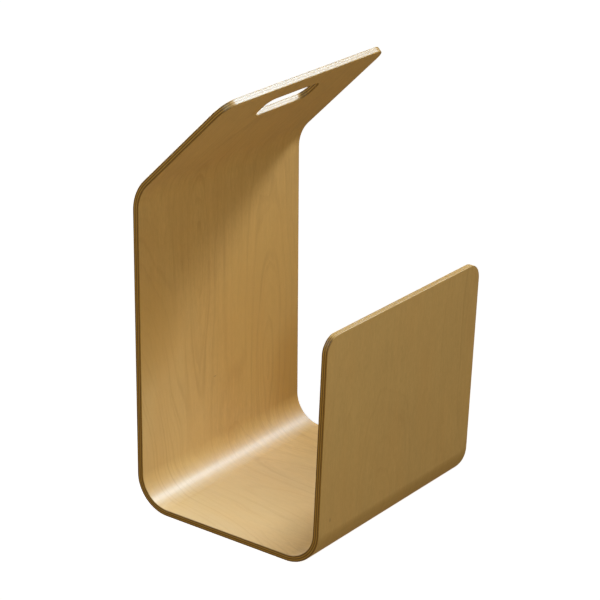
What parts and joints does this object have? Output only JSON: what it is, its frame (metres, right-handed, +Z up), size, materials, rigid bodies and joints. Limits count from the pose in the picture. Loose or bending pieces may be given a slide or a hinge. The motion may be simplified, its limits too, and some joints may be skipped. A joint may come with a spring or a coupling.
{
  "type": "magazine rack",
  "caption": "Free-standing magazine rack of bent plywood: flat base, short front wall, tall back wall and a handle panel leaning forward with a hand slot.",
  "frame": {"origin": "on the floor, at the centre of the rack's outer box", "axes": "+Z up, +Y to the back, where the tall wall stands, +X along the width of the sheet"},
  "size_m": [0.3, 0.2664, 0.5065],
  "materials": {
    "face_veneer_outer": "satin lacquer, grain along the bend",
    "cross_ply_outer": "lacquered edge, grain across the width",
    "long_ply_outer": "lacquered edge, grain along the bend",
    "core_ply": "lacquered edge, grain across the width",
    "long_ply_inner": "lacquered edge, grain along the bend",
    "cross_ply_inner": "lacquered edge, grain across the width",
    "face_veneer_inner": "satin lacquer, grain along the bend"
  },
  "bodies": {
    "root": {"face_veneer_outer": "face_veneer_outer", "cross_ply_outer": "cross_ply_outer", "long_ply_outer": "long_ply_outer", "core_ply": "core_ply", "long_ply_inner": "long_ply_inner", "cross_ply_inner": "cross_ply_inner", "face_veneer_inner": "face_veneer_inner"}
  },
  "joints": []
}
